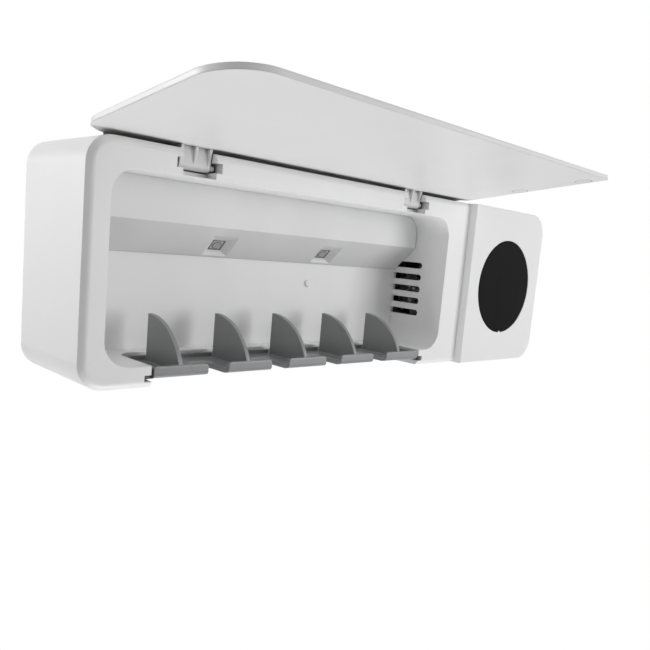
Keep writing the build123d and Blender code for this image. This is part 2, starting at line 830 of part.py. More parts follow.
with BuildPart() as handle_rack:
    with BuildSketch(level_plane(rack_floor_z)) as rack_outline:
        with Locations((rack_mid, rack_mid_y)):
            Rectangle(rack_width, rack_deep)
        fillet(rack_outline.vertices().group_by(Axis.Y)[-1], bay_corner_radius - rack_side_gap)
    extrude(amount=rack_rim_high - rack_floor_low)
    # tray pocket, which leaves a rim along the back and the ends
    with BuildSketch(level_plane(rack_floor_top_z)) as tray_pocket:
        with Locations((rack_mid, rack_mid_y - rack_rim_wall)):
            Rectangle(rack_width - 2 * rack_rim_wall, rack_deep)
        fillet(
            tray_pocket.vertices().group_by(Axis.Y)[-1],
            bay_corner_radius - rack_side_gap - rack_rim_wall,
        )
    extrude(amount=rack_rim_high - rack_floor_low, mode=Mode.SUBTRACT)
    add(rack_lips.part)
    # slots, open at the front
    with BuildSketch(level_plane(bottom)):
        for x in slot_places:
            with Locations((x, slot_round_y)):
                Circle(slot_width / 2)
            with Locations((x, (slot_round_y - pod_depth) / 2)):
                Rectangle(slot_width, pod_depth + slot_round_y)
    extrude(amount=rim_bottom, mode=Mode.SUBTRACT)
    # fins: upright back edge, bowed front edge
    for x in fin_places:
        with BuildSketch(side_plane(x - fin_wall / 2)):
            with BuildLine():
                fin_top = (-fin_back_depth - fin_tip, bottom + fin_high)
                fin_foot = (-lip_back_depth, lip_top_z)
                Polyline(
                    fin_foot,
                    (-lip_back_depth, bottom + lip_low),
                    (-lip_foot_depth, rack_floor_z),
                    (-fin_back_depth, rack_floor_z),
                    (-fin_back_depth, bottom + fin_high),
                    fin_top,
                )
                SagittaArc(fin_top, fin_foot, -fin_bulge)
            make_face()
        extrude(amount=fin_wall)
    # tongues that run in the bay's grooves
    with BuildSketch(level_plane(bottom + tongue_low)):
        with Locations((rack_mid, -(tongue_back_depth + lip_foot_depth) / 2)):
            Rectangle(tongue_span, lip_foot_depth - tongue_back_depth)
            Rectangle(
                rack_width - 2 * rack_rim_wall, lip_foot_depth - tongue_back_depth, mode=Mode.SUBTRACT
            )
    extrude(amount=tongue_wall)
handle_rack.part.label = "handle_rack"

# Lamp cover: the bent ledge under the tub's ceiling, with a funnel in front of each lamp.
knee_z = tub_ceiling - ledge_knee_drop
foot_z = tub_ceiling - ledge_foot_drop
foot_depth = tub_back_depth + ledge_clearance
foot_face_z = foot_z + ledge_clearance * tan(ledge_theta)
slope_rise = ledge_wall / cos(ledge_theta)
knee_inner_z = knee_z + slope_rise - ledge_wall * tan(ledge_theta)
slope_plane = Plane(
    origin=(
        tub_left + lamp_centre_right,
        -ledge_depth + lamp_along * cos(ledge_theta),
        knee_z - lamp_along * sin(ledge_theta),
    ),
    x_dir=(1, 0, 0),
    z_dir=(0, sin(ledge_theta), cos(ledge_theta)),
)
nest_depth = funnel_depth + lamp_nest
lamp_places = [lamp_spacing * (i - (lamp_count - 1) / 2) for i in range(lamp_count)]
lamp_points = [(x, funnel_throat_shift) for x in lamp_places]

with BuildPart() as lamp_cover:
    with BuildSketch(side_plane(tub_left + ledge_clearance)):
        with BuildLine():
            Polyline(
                (-ledge_depth, tub_ceiling),
                (-ledge_depth, knee_z),
                (-foot_depth, foot_face_z),
                (-foot_depth, foot_face_z + slope_rise),
                (-ledge_depth + ledge_wall, knee_inner_z),
                (-ledge_depth + ledge_wall, tub_ceiling),
                close=True,
            )
        make_face()
    extrude(amount=tub_width - 2 * ledge_clearance)
    with BuildSketch(depth_plane(tub_back_depth)):
        with Locations((tub_mid_x, tub_mid_z)):
            RectangleRounded(
                tub_width - 2 * ledge_clearance, tub_height, tub_radius - ledge_clearance
            )
    extrude(amount=land_depth, mode=Mode.INTERSECT)
    # funnel walls and nests behind the slope, then the hollow through them
    for x in lamp_places:
        with BuildSketch(slope_plane):
            with Locations((x, 0)):
                Rectangle(funnel_width, funnel_length)
        with BuildSketch(slope_plane.offset(funnel_depth)):
            with Locations((x, funnel_throat_shift)):
                Rectangle(
                    funnel_throat_width + 2 * funnel_wall, funnel_throat_length + 2 * funnel_wall
                )
        loft()
        with BuildSketch(slope_plane.offset(funnel_depth)):
            with Locations((x, funnel_throat_shift)):
                Rectangle(
                    funnel_throat_width + 2 * funnel_wall, funnel_throat_length + 2 * funnel_wall
                )
        extrude(amount=lamp_nest)
        with BuildSketch(slope_plane):
            with Locations((x, 0)):
                Rectangle(funnel_width, funnel_length)
        with BuildSketch(slope_plane.offset(funnel_depth)):
            with Locations((x, funnel_throat_shift)):
                Rectangle(funnel_throat_width, funnel_throat_length)
        loft(mode=Mode.SUBTRACT)
        with BuildSketch(slope_plane.offset(funnel_depth)):
            with Locations((x, funnel_throat_shift)):
                Rectangle(funnel_throat_width, funnel_throat_length)
        extrude(amount=lamp_nest, mode=Mode.SUBTRACT)
lamp_cover.part.label = "lamp_cover"

# Lamps in the funnels' nests, their windows, and the board behind them.
lamp_front = nest_depth - lamp_height
with BuildPart() as uv_lamps:
    with BuildSketch(slope_plane.offset(lamp_front)):
        with Locations(*lamp_points):
            Rectangle(lamp_width, lamp_length)
    extrude(amount=lamp_height)
    with BuildSketch(slope_plane.offset(lamp_front)):
        with Locations(*lamp_points):
            Circle(lamp_window_radius + window_clearance)
    extrude(amount=lamp_window_sink, mode=Mode.SUBTRACT)
uv_lamps.part.label = "uv_lamps"

with BuildPart() as lamp_windows:
    with BuildSketch(slope_plane.offset(lamp_front + lamp_window_sink)):
        with Locations(*lamp_points):
            Circle(lamp_window_radius)
    extrude(amount=-lamp_window_sink - lamp_window_proud)
lamp_windows.part.label = "lamp_windows"

with BuildPart() as lamp_board:
    with BuildSketch(slope_plane.offset(nest_depth)):
        with Locations((0, funnel_throat_shift)):
            Rectangle(lamp_board_length, lamp_board_width)
    extrude(amount=lamp_board_wall)
lamp_board.part.label = "lamp_board"

# Fan behind the air slots: square frame with spokes and a bearing, and a bladed impeller.
fan_back_x = fan_x + fan_depth
bearing_start_x = fan_x + impeller_gap + impeller_hub_wall + impeller_gap
with BuildPart() as fan_frame:
    with BuildSketch(side_plane(fan_x)):
        with Locations((-vent_depth, vent_z)):
            RectangleRounded(fan_size, fan_size, fan_corner_radius)
            Circle(fan_bore_radius, mode=Mode.SUBTRACT)
            with GridLocations(fan_hole_spacing, fan_hole_spacing, 2, 2):
                Circle(screw_radius + screw_hole_clearance, mode=Mode.SUBTRACT)
    extrude(amount=fan_depth)
    with BuildSketch(side_plane(fan_back_x - fan_hub_wall)):
        with Locations((-vent_depth, vent_z)):
            Circle(fan_hub_radius)
            with PolarLocations(fan_bore_radius / 2, fan_spoke_count):
                Rectangle(fan_bore_radius + bearing_wall, fan_spoke)
    extrude(amount=fan_hub_wall)
    with BuildSketch(side_plane(bearing_start_x)):
        with Locations((-vent_depth, vent_z)):
            Circle(shaft_radius + bearing_wall)
    extrude(amount=fan_back_x - bearing_start_x)
    with BuildSketch(side_plane(bearing_start_x)):
        with Locations((-vent_depth, vent_z)):
            Circle(shaft_radius + shaft_clearance)
    extrude(amount=fan_depth, mode=Mode.SUBTRACT)
fan_frame.part.label = "fan_frame"

hub_start_x = fan_x + impeller_gap
hub_end_x = fan_back_x - fan_hub_wall - impeller_gap
blade_x = (hub_start_x + hub_end_x) / 2
with BuildPart() as fan_impeller:
    with BuildSketch(side_plane(hub_start_x)):
        with Locations((-vent_depth, vent_z)):
            Circle(impeller_hub_radius)
    extrude(amount=hub_end_x - hub_start_x)
    with BuildSketch(side_plane(hub_start_x + impeller_hub_wall)):
        with Locations((-vent_depth, vent_z)):
            Circle(impeller_hub_radius - impeller_hub_wall)
    extrude(amount=fan_depth, mode=Mode.SUBTRACT)
    with BuildSketch(side_plane(hub_start_x)):
        with Locations((-vent_depth, vent_z)):
            Circle(shaft_radius)
    extrude(amount=fan_back_x - hub_start_x)
    for i in range(blade_count):
        turn = radians(360 * i / blade_count)
        blade_dir = Vector(0, cos(turn), sin(turn))
        hub_point = Vector(blade_x, -vent_depth, vent_z)
        root_radius = impeller_hub_radius - impeller_hub_wall / 2
        root_plane = Plane(hub_point + blade_dir * root_radius, x_dir=(1, 0, 0), z_dir=blade_dir)
        tip_plane = Plane(hub_point + blade_dir * blade_radius, x_dir=(1, 0, 0), z_dir=blade_dir)
        with BuildSketch(root_plane):
            Rectangle(blade_wall, blade_chord, rotation=-blade_root_angle)
        with BuildSketch(tip_plane):
            Rectangle(blade_wall, blade_chord, rotation=-blade_tip_angle)
        loft()
fan_impeller.part.label = "fan_impeller"

fan_screw_points = [(sy * fan_corner, sz * fan_corner) for sy in (-1, 1) for sz in (-1, 1)]
fan_screws = screw_group(
    [
        Plane(origin=(fan_back_x, y - vent_depth, vent_z + z), z_dir=(1, 0, 0))
        for y, z in fan_screw_points
    ],
    fan_depth + fan_pilot_depth - pin_end_gap,
)
fan_screws.part.label = "fan_screws"

# Back cover with keyholes, screw holes and the main board's standoffs.
main_x = step_x + main_left + main_width / 2
main_z = bottom + main_bottom + main_height / 2
standoff_x = main_width / 2 - post_inset
standoff_z = main_height / 2 - post_inset
standoff_points = [(main_x + sx * standoff_x, main_z + sz * standoff_z) for sx in (-1, 1) for sz in (-1, 1)]
main_back_depth = cover_inner_depth + main_standoff
lug_points = [(-lug_spacing / 2, 0), (lug_spacing / 2, 0)]
slot_clear = lug_radius + cover_clearance

with BuildPart() as back_cover:
    with BuildSketch(depth_plane(cover_sink)) as cover_outline:
        Rectangle(
            body_width - 2 * (wall + cover_clearance), body_height - 2 * (wall + cover_clearance)
        )
        left_corners = cover_outline.vertices().group_by(Axis.X)[0]
        fillet(left_corners, corner_radius - wall - cover_clearance)
        right_corners = cover_outline.vertices().group_by(Axis.X)[-1]
        fillet(right_corners, pod_corner_radius - wall - cover_clearance)
        with Locations(*cover_screw_points):
            Circle(screw_radius + screw_hole_clearance, mode=Mode.SUBTRACT)
        for x, z in lug_points:
            with Locations((x, z - lug_drop)):
                Circle(lug_head_radius + 2 * cover_clearance, mode=Mode.SUBTRACT)
            with Locations((x, z)):
                Circle(slot_clear, mode=Mode.SUBTRACT)
            with Locations((x, z - lug_drop / 2)):
                Rectangle(2 * slot_clear, lug_drop, mode=Mode.SUBTRACT)
    extrude(amount=cover_wall)
    with BuildSketch(depth_plane(cover_inner_depth)):
        with Locations(*standoff_points):
            Circle(post_radius)
            Circle(screw_radius + pilot_clearance, mode=Mode.SUBTRACT)
    extrude(amount=main_standoff)
back_cover.part.label = "back_cover"

cover_screws = screw_group(
    [Plane(origin=(x, -cover_sink, z), z_dir=(0, 1, 0)) for x, z in cover_screw_points],
    cover_wall + board_screw_grip,
)
cover_screws.part.label = "cover_screws"

# Wall bracket: a plate with two countersunk screw holes and two headed lugs.
with BuildPart() as wall_bracket:
    with BuildSketch(Plane.XZ):
        RectangleRounded(bracket_length, bracket_height, bracket_radius)
    extrude(amount=bracket_wall)
    with BuildSketch(depth_plane(bracket_wall)):
        with Locations(*lug_points):
            Circle(lug_radius)
    extrude(amount=cover_inner_depth + lug_gap - bracket_wall)
    with BuildSketch(depth_plane(cover_inner_depth + lug_gap)):
        with Locations(*lug_points):
            Circle(lug_head_radius)
    extrude(amount=lug_head_wall)
    with Locations(depth_plane(bracket_wall)):
        with GridLocations(bracket_hole_spacing, 0, 2, 1):
            CounterSinkHole(bracket_hole_radius, bracket_countersink_radius, depth=bracket_wall)
wall_bracket.part.label = "wall_bracket"

# Main board on the standoffs, its screws and the charging socket on its lower edge.
with BuildPart() as main_board:
    with BuildSketch(depth_plane(main_back_depth)):
        with Locations((main_x, main_z)):
            Rectangle(main_width, main_height)
        with Locations(*standoff_points):
            Circle(screw_radius + screw_hole_clearance, mode=Mode.SUBTRACT)
    extrude(amount=board_wall)
main_board.part.label = "main_board"

main_screws = screw_group(
    [Plane(origin=(x, -main_back_depth - board_wall, z), z_dir=(0, -1, 0)) for x, z in standoff_points],
    board_wall + board_screw_grip,
)
main_screws.part.label = "main_screws"

with BuildPart() as charging_socket:
    socket_low = bottom + socket_sink
    with BuildSketch(level_plane(socket_low)):
        with Locations((socket_x, -socket_mid_depth)):
            SlotOverall(socket_width, socket_wall)
    extrude(amount=socket_length)
    with BuildSketch(level_plane(socket_low)):
        with Locations((socket_x, -socket_mid_depth)):
            SlotOverall(socket_width - 2 * socket_mouth_wall, socket_wall - 2 * socket_mouth_wall)
    extrude(amount=socket_mouth_depth, mode=Mode.SUBTRACT)
    with BuildSketch(level_plane(socket_low + socket_mouth_wall)):
        with Locations((socket_x, -socket_mid_depth)):
            Rectangle(socket_width - socket_wall, socket_tongue)
    extrude(amount=socket_mouth_depth)
charging_socket.part.label = "charging_socket"

# Battery cell in an open cradle on the back cover.
cell_x = step_x + cell_right
cell_depth = cover_inner_depth + holder_wall + cell_clearance + cell_radius
cell_length = body_height - 2 * (wall + holder_end_gap + holder_wall + cell_clearance)
cell_low = -cell_length / 2
with BuildPart() as battery_cell:
    with BuildSketch(level_plane(cell_low)):
        with Locations((cell_x, -cell_depth)):
            Circle(cell_radius)
    extrude(amount=cell_length - cell_cap_height)
    with BuildSketch(level_plane(cell_low)):
        with Locations((cell_x, -cell_depth)):
            Circle(cell_cap_radius)
    extrude(amount=cell_length)
battery_cell.part.label = "battery_cell"

holder_width = 2 * (cell_radius + holder_side)
cradle_length = cell_length + 2 * cell_clearance
with BuildPart() as battery_holder:
    with BuildSketch(depth_plane(cover_inner_depth)):
        with Locations((cell_x, 0)):
            Rectangle(holder_width, cradle_length + 2 * holder_wall)
    extrude(amount=holder_end_height)
    with BuildSketch(level_plane(-cradle_length / 2)):
        with Locations((cell_x, -cell_depth)):
            Circle(cell_radius + cell_clearance)
        with Locations((cell_x, -cell_depth - cell_radius)):
            Rectangle(holder_width, 2 * cell_radius)
    extrude(amount=cradle_length, mode=Mode.SUBTRACT)
battery_holder.part.label = "battery_holder"

pieces = [
    front_housing, pod_cover, round_panel, press_switch, switch_plunger, control_board,
    control_screws, lid_plate, lid_magnets, catch_magnets, hinge_pins, lid_sensor,
    handle_rack, lamp_cover, uv_lamps, lamp_windows, lamp_board, fan_frame, fan_impeller,
    fan_screws, back_cover, cover_screws, wall_bracket, main_board, main_screws,
    charging_socket, battery_cell, battery_holder,
]
os.makedirs("parts", exist_ok=True)
for piece in pieces:
    export_step(piece.part, f"parts/{piece.part.label}.step")
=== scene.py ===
import bmesh
import bpy
from mathutils import Matrix, Vector

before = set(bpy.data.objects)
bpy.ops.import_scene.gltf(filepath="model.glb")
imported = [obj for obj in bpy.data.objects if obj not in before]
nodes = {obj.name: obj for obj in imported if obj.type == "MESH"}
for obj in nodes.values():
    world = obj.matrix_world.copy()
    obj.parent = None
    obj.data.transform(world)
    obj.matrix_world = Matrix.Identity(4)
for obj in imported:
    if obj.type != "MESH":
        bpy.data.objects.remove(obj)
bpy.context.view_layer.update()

traceSamples = 6  # rays for each rounded edge and each gap


def newMaterial(name):
    material = bpy.data.materials.new(name)
    material.use_nodes = True
    tree = material.node_tree
    tree.nodes.clear()
    output = tree.nodes.new("ShaderNodeOutputMaterial")
    shader = tree.nodes.new("ShaderNodeBsdfPrincipled")
    tree.links.new(shader.outputs["BSDF"], output.inputs["Surface"])
    return material, tree, shader


def objectPlace(tree, stretch=(1, 1, 1)):
    coords = tree.nodes.new("ShaderNodeTexCoord")
    mapping = tree.nodes.new("ShaderNodeMapping")
    mapping.inputs["Scale"].default_value = stretch
    tree.links.new(coords.outputs["Object"], mapping.inputs["Vector"])
    return mapping.outputs["Vector"]


def noiseField(tree, place, scale, detail=2.0, roughness=0.5):
    node = tree.nodes.new("ShaderNodeTexNoise")
    node.inputs["Scale"].default_value = scale
    node.inputs["Detail"].default_value = detail
    node.inputs["Roughness"].default_value = roughness
    tree.links.new(place, node.inputs["Vector"])
    return node.outputs["Fac"]


def spread(tree, value, low, high, fromLow=0.0, fromHigh=1.0):
    node = tree.nodes.new("ShaderNodeMapRange")
    node.inputs["From Min"].default_value = fromLow
    node.inputs["From Max"].default_value = fromHigh
    node.inputs["To Min"].default_value = low
    node.inputs["To Max"].default_value = high
    tree.links.new(value, node.inputs["Value"])
    return node.outputs["Result"]


def mixColours(tree, factor, first, second):
    # inputs 6 and 7 and output 2 are the node's colour sockets
    node = tree.nodes.new("ShaderNodeMix")
    node.data_type = "RGBA"
    for socket, value in ((node.inputs[6], first), (node.inputs[7], second)):
        if isinstance(value, tuple):
            socket.default_value = value + (1.0,)
        else:
            tree.links.new(value, socket)
    tree.links.new(factor, node.inputs[0])
    return node.outputs[2]


def combine(tree, operation, first, second):
    node = tree.nodes.new("ShaderNodeMath")
    node.operation = operation
    for socket, value in zip(node.inputs, (first, second)):
        if isinstance(value, float):
            socket.default_value = value
        else:
            tree.links.new(value, socket)
    return node.outputs["Value"]


def vectorStep(tree, operation, first, second):
    # the second is a fixed triple or another vector
    node = tree.nodes.new("ShaderNodeVectorMath")
    node.operation = operation
    tree.links.new(first, node.inputs[0])
    if isinstance(second, tuple):
        node.inputs[1].default_value = second
    else:
        tree.links.new(second, node.inputs[1])
    return node


def axisOf(tree, place, axis):
    node = tree.nodes.new("ShaderNodeSeparateXYZ")
    tree.links.new(place, node.inputs["Vector"])
    return node.outputs[axis]


def roundedNormal(tree, radius):
    node = tree.nodes.new("ShaderNodeBevel")
    node.samples = traceSamples
    node.inputs["Radius"].default_value = radius
    return node.outputs["Normal"]


def edgeMask(tree, normal):
    # 1 along edges and corners, 0 on open faces
    bent, flat = 0.8, 0.99
    geometry = tree.nodes.new("ShaderNodeNewGeometry")
    dot = vectorStep(tree, "DOT_PRODUCT", normal, geometry.outputs["Normal"])
    return spread(tree, dot.outputs["Value"], 1.0, 0.0, bent, flat)


def openness(tree, reach):
    # 1 where nothing stands within the reach, 0 in a closed hollow
    node = tree.nodes.new("ShaderNodeAmbientOcclusion")
    node.samples = traceSamples
    node.inputs["Distance"].default_value = reach
    return node.outputs["AO"]


def paintedGapShade(tree, reach):
    # painted shade mask: 1 deep in a narrow gap, 0 in open corners and on open faces
    deep, corner = 0.12, 0.45
    return spread(tree, openness(tree, reach), 1.0, 0.0, deep, corner)


def bumpFrom(tree, height, distance, strength, normal):
    node = tree.nodes.new("ShaderNodeBump")
    node.inputs["Distance"].default_value = distance
    node.inputs["Strength"].default_value = strength
    tree.links.new(height, node.inputs["Height"])
    tree.links.new(normal, node.inputs["Normal"])
    return node.outputs["Normal"]


mouldMarks = {
    "cloudScale": 16.0, "cloudRange": (0.35, 0.65),
    "flowScale": 40.0, "flowRange": (0.5, 0.8), "flowCover": 0.5,
    "smearScale": 55.0, "smearRange": (0.3, 0.7), "smearGloss": 0.05,
    "rubbedGloss": -0.08, "grainStrength": 0.5,
}


def mouldedPlastic(name, look):
    # satin moulded plastic: spark grain, cloudy gloss, flow marks, edges rubbed smoother, an edge
    # colour for wear and for painted highlights and outlines, and painted shade in narrow gaps
    marks = mouldMarks
    material, tree, shader = newMaterial(name)
    place = objectPlace(tree)
    rounded = roundedNormal(tree, look["edgeRadius"])
    edges = edgeMask(tree, rounded)
    clouds = noiseField(tree, place, marks["cloudScale"], detail=3.0)
    clouds = spread(tree, clouds, 0.0, 1.0, *marks["cloudRange"])
    colour = mixColours(tree, clouds, look["colour"], look["shade"])
    flowPlace = objectPlace(tree, look["flowStretch"])
    flow = noiseField(tree, flowPlace, marks["flowScale"], detail=4.0, roughness=0.6)
    flow = spread(tree, flow, 0.0, marks["flowCover"], *marks["flowRange"])
    colour = mixColours(tree, flow, colour, look["flowColour"])
    # edges take their own colour: painted highlights on the rack and impeller, painted shade outlines
    # on the lamps and lid magnets, a faint change of tone on the rest
    edgeLightAndWearMix = spread(tree, edges, 0.0, look["paintedLightAndWearOnEdges"])
    colour = mixColours(tree, edgeLightAndWearMix, colour, look["paintedLightAndWearEdgeColour"])
    # narrow gaps get a dark painted shade colour
    if "gapShadeColour" in look:
        colour = mixColours(tree, paintedGapShade(tree, look["gapShadeReach"]), colour, look["gapShadeColour"])
    tree.links.new(colour, shader.inputs["Base Color"])
    smears = noiseField(tree, place, marks["smearScale"], detail=4.0)
    glossy = look["roughness"] - marks["smearGloss"]
    dull = look["roughness"] + marks["smearGloss"]
    gloss = spread(tree, smears, glossy, dull, *marks["smearRange"])
    rubbed = spread(tree, edges, 0.0, marks["rubbedGloss"])
    tree.links.new(combine(tree, "ADD", gloss, rubbed), shader.inputs["Roughness"])
    grain = noiseField(tree, place, 1.0 / look["grainSize"], roughness=0.6)
    normal = bumpFrom(tree, grain, look["grainDepth"], marks["grainStrength"], rounded)
    tree.links.new(normal, shader.inputs["Normal"])
    shader.inputs["Specular IOR Level"].default_value = look["shine"]
    return material, tree, shader


toolMarks = {
    "lineScale": 700.0, "lineRange": (0.3, 0.7), "lineDepth": 0.000006, "lineStrength": 0.5,
    "lineGloss": 0.07, "lineDullness": 0.09,
    "spotScale": 300.0, "spotRange": (0.5, 0.75), "spotCover": 0.4,
}


def machinedMetal(name, look):
    # plated metal with fine tool lines along the stretched axis and painted shade in its hollows
    marks = toolMarks
    material, tree, shader = newMaterial(name)
    rounded = roundedNormal(tree, look["edgeRadius"])
    linePlace = objectPlace(tree, look["lineStretch"])
    lines = noiseField(tree, linePlace, marks["lineScale"], detail=3.0, roughness=0.6)
    shaded = spread(tree, lines, 0.0, 1.0, *marks["lineRange"])
    colour = mixColours(tree, shaded, look["colour"], look["shade"])
    spots = noiseField(tree, objectPlace(tree), marks["spotScale"], detail=3.0)
    spots = spread(tree, spots, 0.0, marks["spotCover"], *marks["spotRange"])
    colour = mixColours(tree, spots, colour, look["spotColour"])
    # enclosed hollows get a dark painted shade colour
    colour = mixColours(tree, openness(tree, look["hollowShadeReach"]), look["hollowShadeColour"], colour)
    tree.links.new(colour, shader.inputs["Base Color"])
    glossy = look["roughness"] - marks["lineGloss"]
    dull = look["roughness"] + marks["lineDullness"]
    tree.links.new(spread(tree, lines, glossy, dull), shader.inputs["Roughness"])
    normal = bumpFrom(tree, lines, marks["lineDepth"], marks["lineStrength"], rounded)
    tree.links.new(normal, shader.inputs["Normal"])
    shader.inputs["Metallic"].default_value = 1.0
    return material


def dress(nodeNames, material):
    for name in nodeNames:
        for holder in nodes[name].material_slots:
            holder.material = material


housingLook = {
    "colour": (0.87, 0.87, 0.867), "shade": (0.85, 0.852, 0.85),
    "flowStretch": (0.3, 1, 1), "flowColour": (0.835, 0.837, 0.84),
    "paintedLightAndWearOnEdges": 0.35, "paintedLightAndWearEdgeColour": (0.89, 0.89, 0.887), "edgeRadius": 0.0003,
    "roughness": 0.42, "grainSize": 0.0004, "grainDepth": 0.000012, "shine": 0.45,
    "gapShadeColour": (0.10, 0.10, 0.10), "gapShadeReach": 0.003,
}
dress(("front_housing", "pod_cover"), mouldedPlastic("housingPlastic", housingLook)[0])

lidLook = {
    "colour": (0.84, 0.84, 0.837), "shade": (0.82, 0.821, 0.82),
    "flowStretch": (1, 0.25, 1), "flowColour": (0.805, 0.807, 0.81),
    "paintedLightAndWearOnEdges": 0.3, "paintedLightAndWearEdgeColour": (0.87, 0.87, 0.867), "edgeRadius": 0.0006,
    "roughness": 0.38, "grainSize": 0.00045, "grainDepth": 0.00001, "shine": 0.5,
    "gapShadeColour": (0.10, 0.10, 0.10), "gapShadeReach": 0.003,
}
dress(("lid_plate",), mouldedPlastic("lidPlastic", lidLook)[0])

ledgeLook = {
    "colour": (0.85, 0.852, 0.85), "shade": (0.83, 0.832, 0.832),
    "flowStretch": (0.2, 1, 1), "flowColour": (0.81, 0.813, 0.815),
    "paintedLightAndWearOnEdges": 0.25, "paintedLightAndWearEdgeColour": (0.88, 0.88, 0.877), "edgeRadius": 0.00025,
    "roughness": 0.5, "grainSize": 0.00035, "grainDepth": 0.000015, "shine": 0.4,
    "gapShadeColour": (0.10, 0.10, 0.10), "gapShadeReach": 0.003,
}
dress(("lamp_cover",), mouldedPlastic("ledgePlastic", ledgeLook)[0])

coverLook = {
    "colour": (0.74, 0.74, 0.735), "shade": (0.71, 0.712, 0.71),
    "flowStretch": (0.2, 1, 0.6), "flowColour": (0.69, 0.692, 0.69),
    "paintedLightAndWearOnEdges": 0.3, "paintedLightAndWearEdgeColour": (0.78, 0.78, 0.775), "edgeRadius": 0.00025,
    "roughness": 0.55, "grainSize": 0.0006, "grainDepth": 0.00003, "shine": 0.4,
}
dress(("back_cover",), mouldedPlastic("backCoverPlastic", coverLook)[0])

bracketLook = {
    "colour": (0.60, 0.60, 0.59), "shade": (0.55, 0.552, 0.548),
    "flowStretch": (0.15, 1, 1), "flowColour": (0.64, 0.64, 0.63),
    "paintedLightAndWearOnEdges": 0.45, "paintedLightAndWearEdgeColour": (0.68, 0.68, 0.67), "edgeRadius": 0.0003,
    "roughness": 0.6, "grainSize": 0.0008, "grainDepth": 0.00004, "shine": 0.4,
}
dress(("wall_bracket",), mouldedPlastic("bracketPlastic", bracketLook)[0])
print("white pieces dressed")

rackLook = {
    "colour": (0.265, 0.267, 0.273), "shade": (0.242, 0.244, 0.25),
    "flowStretch": (1, 1, 0.3), "flowColour": (0.22, 0.222, 0.228),
    # the pale edge colour is a painted highlight along every edge
    "paintedLightAndWearOnEdges": 1.0, "paintedLightAndWearEdgeColour": (0.66, 0.662, 0.668), "edgeRadius": 0.0005,
    "roughness": 0.32, "grainSize": 0.0005, "grainDepth": 0.000012, "shine": 0.7,
    "gapShadeColour": (0.02, 0.02, 0.021), "gapShadeReach": 0.006,
}
dress(("handle_rack",), mouldedPlastic("rackPlastic", rackLook)[0])

panelLook = {
    "colour": (0.006, 0.006, 0.0062), "shade": (0.007, 0.007, 0.0073),
    "flowStretch": (1, 1, 1), "flowColour": (0.009, 0.009, 0.0094),
    "paintedLightAndWearOnEdges": 0.5, "paintedLightAndWearEdgeColour": (0.04, 0.04, 0.042), "edgeRadius": 0.0002,
    "roughness": 0.42, "grainSize": 0.0003, "grainDepth": 0.000006, "shine": 0.03,
    "wipeStretch": (1, 1, 0.12), "wipeScale": 190.0, "wipeRange": (0.5, 0.75), "wipeDullness": 0.1,
}


def panelPlastic(look):
    # near-black satin disc with faint wiping marks in its gloss
    material, tree, shader = mouldedPlastic("panelPlastic", look)
    wipePlace = objectPlace(tree, look["wipeStretch"])
    wipes = noiseField(tree, wipePlace, look["wipeScale"], detail=5.0, roughness=0.65)
    sheen = spread(tree, wipes, 0.0, look["wipeDullness"], *look["wipeRange"])
    tree.links.new(combine(tree, "ADD", sheen, look["roughness"]), shader.inputs["Roughness"])
    return material


dress(("round_panel",), panelPlastic(panelLook))

switchLook = {
    "colour": (0.025, 0.025, 0.026), "shade": (0.03, 0.03, 0.031),
    "flowStretch": (1, 1, 1), "flowColour": (0.036, 0.036, 0.037),
    "paintedLightAndWearOnEdges": 0.4, "paintedLightAndWearEdgeColour": (0.06, 0.06, 0.062), "edgeRadius": 0.00015,
    "roughness": 0.5, "grainSize": 0.0003, "grainDepth": 0.00001, "shine": 0.4,
}
dress(("press_switch", "switch_plunger"), mouldedPlastic("switchPlastic", switchLook)[0])

frameLook = {
    "colour": (0.022, 0.022, 0.024), "shade": (0.03, 0.03, 0.032),
    "flowStretch": (0.3, 1, 1), "flowColour": (0.04, 0.04, 0.043),
    "paintedLightAndWearOnEdges": 0.7, "paintedLightAndWearEdgeColour": (0.12, 0.12, 0.123), "edgeRadius": 0.0002,
    "roughness": 0.45, "grainSize": 0.0005, "grainDepth": 0.00002, "shine": 0.3,
    "dustAndReflectionSize": 0.0011, "dustAndReflectionRange": (0.54, 0.7), "dustAndReflectionColour": (0.16, 0.155, 0.15), "dustAndReflectionCover": 0.35,
}
impellerLook = {
    "colour": (0.022, 0.022, 0.024), "shade": (0.03, 0.03, 0.032),
    "flowStretch": (0.3, 1, 1), "flowColour": (0.04, 0.04, 0.042),
    # the pale edge colour is a painted highlight
    "paintedLightAndWearOnEdges": 0.9, "paintedLightAndWearEdgeColour": (0.45, 0.45, 0.445), "edgeRadius": 0.0003,
    "roughness": 0.34, "grainSize": 0.0005, "grainDepth": 0.00002, "shine": 0.25,
    # the pale spots are painted reflections on the blades
    "dustAndReflectionSize": 0.0026, "dustAndReflectionRange": (0.54, 0.7), "dustAndReflectionColour": (0.72, 0.715, 0.70), "dustAndReflectionCover": 0.9,
}


def fanPlastic(name, look):
    # glass-filled plastic with a little dust where the air passes; on the impeller the pale spots are
    # painted reflections
    material, tree, shader = mouldedPlastic(name, look)
    colour = shader.inputs["Base Color"].links[0].from_socket
    # pale spots: dust on the frame, painted reflections on the impeller
    dustAndReflection = noiseField(tree, objectPlace(tree), 1.0 / look["dustAndReflectionSize"], detail=4.0, roughness=0.7)
    dustAndReflection = spread(tree, dustAndReflection, 0.0, look["dustAndReflectionCover"], *look["dustAndReflectionRange"])
    tree.links.new(mixColours(tree, dustAndReflection, colour, look["dustAndReflectionColour"]), shader.inputs["Base Color"])
    return material


dress(("fan_frame",), fanPlastic("fanFramePlastic", frameLook))
dress(("fan_impeller",), fanPlastic("impellerPlastic", impellerLook))

